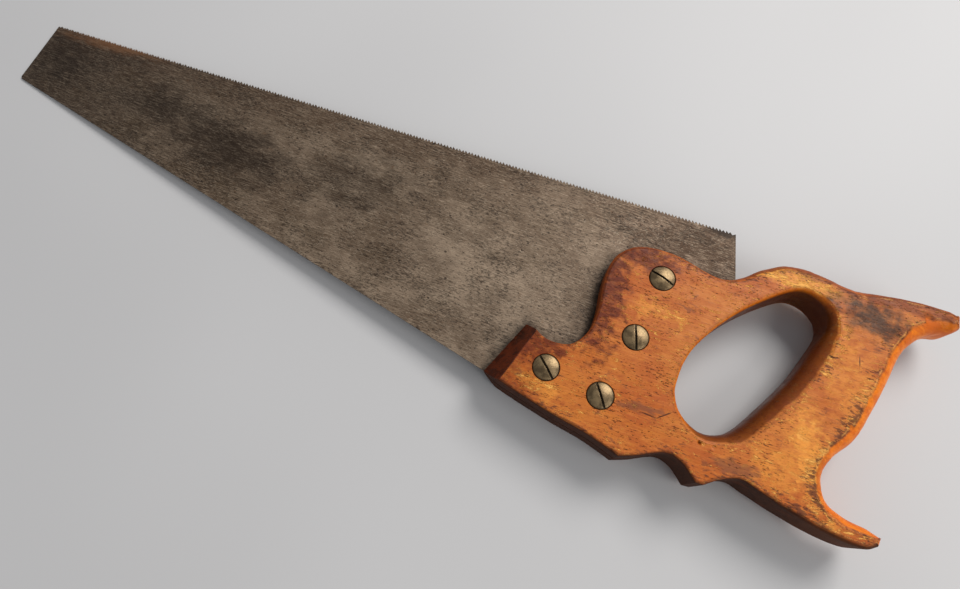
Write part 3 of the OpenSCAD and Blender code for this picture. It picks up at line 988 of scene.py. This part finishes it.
def add_cheek(verts, faces, side, rim_ids, hole_ids):
    """Closes one side of the handle between the arris of the outline and that of the hand hole."""
    rim, hole = (np.array([verts[i][:2] for i in ids]) for ids in (rim_ids, hole_ids))
    flat, tris, loop_ids = fill_between(rim, [hole], hex_grid((-112, 8), (102, 136), CHEEK_GRID))
    ids = dict(zip(loop_ids, rim_ids + hole_ids))
    for i, (x, y) in enumerate(flat):
        if i not in ids:
            ids[i] = len(verts)
            verts.append((x, y, side * HALF))
    faces += [[ids[i] for i in anticlockwise(f, flat)][::side] for f in tris]


def build_handle():
    """The wooden handle: rounded walls, flat worn cheeks, the slot for the plate and the bolt holes."""
    outer = wall_rings(wood_outline(), 1)
    inner = wall_rings(spline(HOLE_KEYS, OUTLINE_STEP, closed=True), -1)
    verts, faces, (outer_far, outer_near) = stack(outer)
    inner_verts, inner_faces, (inner_far, inner_near) = stack(inner, len(verts))
    verts += inner_verts
    faces += [face[::-1] for face in inner_faces]
    add_cheek(verts, faces, -1, outer_far[::-1], inner_far[::-1])
    add_cheek(verts, faces, 1, outer_near, inner_near)
    obj = new_object("worn_handle", weather(verts), faces)
    close_gaps(obj)
    for side in (-1, 1):
        cut(obj, nose_cutter(side))
    gap = PLATE_HALF + SLOT_PLAY
    cut(obj, joined("slot_cutter", [upright(SAW_CUT, -gap, gap)]))
    cut(obj, joined("bolt_cutter", [bolt_cutter(at) for at in BOLTS]))
    crisp_arrises(obj)
    paint_handle(obj, outer, inner)
    return obj


def crisp_arrises(obj):
    """Smooth shading, but sharp wherever a cheek ends and wherever the wood turns a corner."""
    with editing(obj) as work:
        for face in work.faces:
            face.smooth = True
        for edge in work.edges:
            if len(edge.link_faces) != 2:
                continue
            a, b = (f.normal for f in edge.link_faces)
            turn = a.angle(b, 0.0)
            leaves_cheek = (abs(a.z) > 0.97) != (abs(b.z) > 0.97)
            edge.smooth = not (turn > math.radians(36) or (leaves_cheek and turn > math.radians(10)))


def paint_handle(obj, outer, inner):
    """Point values for the wood's colours: rim and edge fade away from an arris, quickly and slowly, hole is
    near the hand hole, and under is the lower edge's wall, turned from the light, for grime and painted
    shade."""
    points = in_mm(obj)
    away = nearest_distance(points, np.vstack([outer[-1], outer[0], inner[-1], inner[0]]))
    set_attribute(obj, "rim", np.exp(-away / 1.8))
    set_attribute(obj, "edge", np.exp(-away / 4.5))
    to_hole, to_edge = (nearest_distance(flattened(points), flattened(rings[0])) for rings in (inner, outer))
    set_attribute(obj, "hole", np.clip((to_edge - to_hole) / 4, 0, 1))
    # under marks the lower edge's walls that face away from the light, which the wood paints dark as grime
    # and painted shade.
    facing = np.array([v.normal.y for v in obj.data.vertices])
    depth = HALF - np.abs(points[:, 2])
    under = np.clip(depth / 0.8, 0, 1) * np.clip((facing - 0.15) / 0.3, 0, 1) * (points[:, 1] > 110)
    set_attribute(obj, "under", under)


# ---- Bolts and nuts ----

FASTENER_ANGLE = 40
BEVEL_WIDTH = 0.12
THREAD_SIDES = 40
THREAD_ROW = 0.1
THREAD_END = 0.8
WELD_OVERLAP = 0.05


def head_profile(wear):
    """A head's section from its underside edge to the crown: an upright rim and a dome with a worn corner."""
    points = [(HEAD_R - 0.08, 0), (HEAD_R, 0.1), (HEAD_R, HEAD_SUNK - wear),
              (HEAD_R - 0.3 * wear, HEAD_SUNK - 0.3 * wear)]
    for a in np.linspace(math.asin(HEAD_R / DOME_R) * 0.97, 0, 14):
        points.append((DOME_R * math.sin(a), HEAD_SUNK + DOME_RISE - DOME_R * (1 - math.cos(a)) - 0.02))
    points[-1] = (0, points[-1][1])
    return [(r, UNDER_HEAD + z) for r, z in points]


def radius_from(obj, at):
    """How far each point of an object is from a bolt's axis, in mm."""
    points = in_mm(obj)
    return np.hypot(points[:, 0] - at[0], points[:, 1] - at[1])


def rim_dirt(radius):
    """Dirt round a head's rim, from the distance to its axis."""
    return np.clip((radius - HEAD_R + 0.5) / 0.5, 0, 1) * 0.8


def round_edges(obj):
    """Rounds a fastener's sharp edges."""
    bevel = obj.modifiers.new("worn edges", "BEVEL")
    bevel.width = BEVEL_WIDTH * MM
    bevel.segments = 2
    bevel.limit_method = "ANGLE"
    bevel.angle_limit = math.radians(FASTENER_ANGLE)
    apply_modifiers(obj)
    shade(obj, FASTENER_ANGLE)


def build_nut(number, at, turn):
    """A nut: domed head with a screwdriver slot, and a barrel with a bore for the bolt."""
    barrel = [(0, BARREL_START), (BARREL_R - 0.2, BARREL_START), (BARREL_R, BARREL_START + 0.2),
              (BARREL_R, UNDER_HEAD)]
    obj = joined("slotted_nut_%d" % number, [lathe(barrel + head_profile(0.25), at)])
    c, s = math.cos(math.radians(turn)), math.sin(math.radians(turn))
    half = DRIVER_SLOT / 2
    corners = [(-9, -half), (9, -half), (9, half), (-9, half)]
    loop = [(at[0] + c * x - s * y, at[1] + s * x + c * y) for x, y in corners]
    cut(obj, joined("slot_cutter", [upright(loop, HALF + DOME_RISE - DRIVER_DEPTH, HALF + 4)]))
    bore = [(0, 0), (THREAD_R + 0.05, 0), (THREAD_R + 0.05, UNDER_HEAD - 1), (0, UNDER_HEAD - 1)]
    cut(obj, joined("bore_cutter", [lathe(bore, at, 48)]))
    round_edges(obj)
    radius = radius_from(obj, at)
    crown = HALF + DOME_RISE - (DOME_R - np.sqrt(np.maximum(DOME_R ** 2 - radius ** 2, 0)))
    in_slot = np.clip((crown - in_mm(obj)[:, 2] - 0.15) / 0.5, 0, 1)
    set_attribute(obj, "dirt", np.maximum(in_slot, rim_dirt(radius)))
    return obj


def threaded_rod(at, low, high):
    """A rod from low to high with a helical thread that fades out at its end, as points and faces."""
    rows = int((high - low) / THREAD_ROW)
    rings = []
    for k in range(rows + 1):
        z = low + (high - low) * k / rows
        fade = min(1.0, (high - z) / THREAD_END)
        ring = []
        for i in range(THREAD_SIDES):
            a = 2 * math.pi * i / THREAD_SIDES
            phase = ((z - low) / THREAD_PITCH - i / THREAD_SIDES) % 1.0
            r = CORE_R + (THREAD_R - CORE_R) * (1 - abs(2 * phase - 1)) * fade
            ring.append((at[0] + r * math.cos(a), at[1] + r * math.sin(a), z))
        rings.append(ring)
    verts, sides, ends = stack(rings)
    return verts, sides + ends


def build_bolt(number, at):
    """A bolt: plain domed head on the far cheek, square neck and threaded shank."""
    head = lathe([(0, UNDER_HEAD)] + head_profile(0.3), at, down=True)
    neck_top = NECK_LENGTH - UNDER_HEAD
    corners = [(-1, -1), (1, -1), (1, 1), (-1, 1)]
    square = [(at[0] + NECK_HALF * x, at[1] + NECK_HALF * y) for x, y in corners]
    neck = upright(square, -UNDER_HEAD - WELD_OVERLAP, neck_top)
    shank = threaded_rod(at, neck_top - WELD_OVERLAP, UNDER_HEAD - 1.5)
    obj = joined("domed_bolt_%d" % number, [head, neck, shank])
    shade(obj, FASTENER_ANGLE)
    set_attribute(obj, "dirt", rim_dirt(radius_from(obj, at)))
    return obj


# ---- Build the saw ----

def dress(obj, material, slot, *nodes):
    """Gives a piece its material and its place in the frame."""
    obj.data.materials.clear()
    obj.data.materials.append(material)
    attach(obj, "root")
    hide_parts(*nodes)


steel, wood, brass = steel_material(), wood_material(), brass_material()
dress(build_handle(), wood, "handle_wood", "handle")
dress(build_plate(wood_outline()), steel, "plate_steel", "saw_plate")
for index, spot in enumerate(BOLTS):
    dress(build_nut(index + 1, spot, SLOT_TURNS[index]), brass, "nut_brass", "saw_nut_%d" % (index + 1))
    dress(build_bolt(index + 1, spot), brass, "bolt_brass", "saw_bolt_%d" % (index + 1))


# ---- Floor, light and camera ----

FLOOR_HALF = 3.0
REST_BOLT_X = BOLTS[2][0]
# The camera's place in mm in the plate's axes, its tilt and turn in degrees and its lens in mm.
CAMERA_PLACE = (78.8, 173.65, 285.1)
CAMERA_TILT = 20
CAMERA_TURN = -160.353
CAMERA_LENS = 22.76


def build_floor():
    """The floor that the saw lies on: it touches the toe and the front bolt head."""
    heel = ORIGIN + Vector((REST_BOLT_X, 0, 0)) * MM
    rise = (plate_lo[2] - CAD_BOX[0][2]) / (plate_hi[0] - heel.x)
    verts = []
    for x, y in ((-1, -1), (1, -1), (1, 1), (-1, 1)):
        verts.append((x * FLOOR_HALF, y * FLOOR_HALF, CAD_BOX[0][2] + (x * FLOOR_HALF - heel.x) * rise))
    mesh = bpy.data.meshes.new("floor")
    mesh.from_pydata(verts, [], [[0, 1, 2, 3]])
    mesh.materials.append(floor_material())
    obj = placed("floor", mesh)


def area_light(name, offset, size, power, colour):
    """A square softbox, placed by its offset from the saw's middle in metres and facing it."""
    middle = (Vector(CAD_BOX[0]) + Vector(CAD_BOX[1])) / 2
    data = bpy.data.lights.new(name, "AREA")
    data.shape = "SQUARE"
    data.size = size
    data.energy = power
    data.color = colour
    obj = placed(name, data)
    obj.location = middle + Vector(offset)
    obj.rotation_euler = (-Vector(offset)).to_track_quat("-Z", "Y").to_euler()


def build_lights():
    """A warm key light past the teeth, a weak fill beside the handle and a pale world."""
    area_light("key", (-0.62, -1.0, 1.15), 0.8, 20.0, (1.0, 0.97, 0.925))
    area_light("fill", (-1.05, 0.35, 0.8), 0.7, 5.0, (1.0, 0.97, 0.92))
    world = bpy.data.worlds.new("studio")
    world.use_nodes = True
    world.node_tree.nodes["Background"].inputs[0].default_value = (0.9, 0.92, 0.95, 1)
    world.node_tree.nodes["Background"].inputs[1].default_value = 0.35
    bpy.context.scene.world = world


def build_camera():
    """The photo's camera: above the plate, tilted and turned, with a wide lens."""
    data = bpy.data.cameras.new("camera")
    data.sensor_width = 36
    data.lens = CAMERA_LENS
    data.clip_start = 0.01
    obj = placed("camera", data)
    obj.location = ORIGIN + Vector(CAMERA_PLACE) * MM
    obj.rotation_euler = (math.radians(CAMERA_TILT), 0, math.radians(CAMERA_TURN))
    bpy.context.scene.camera = obj


build_floor()
build_lights()
build_camera()
bpy.context.scene.view_settings.view_transform = "Standard"
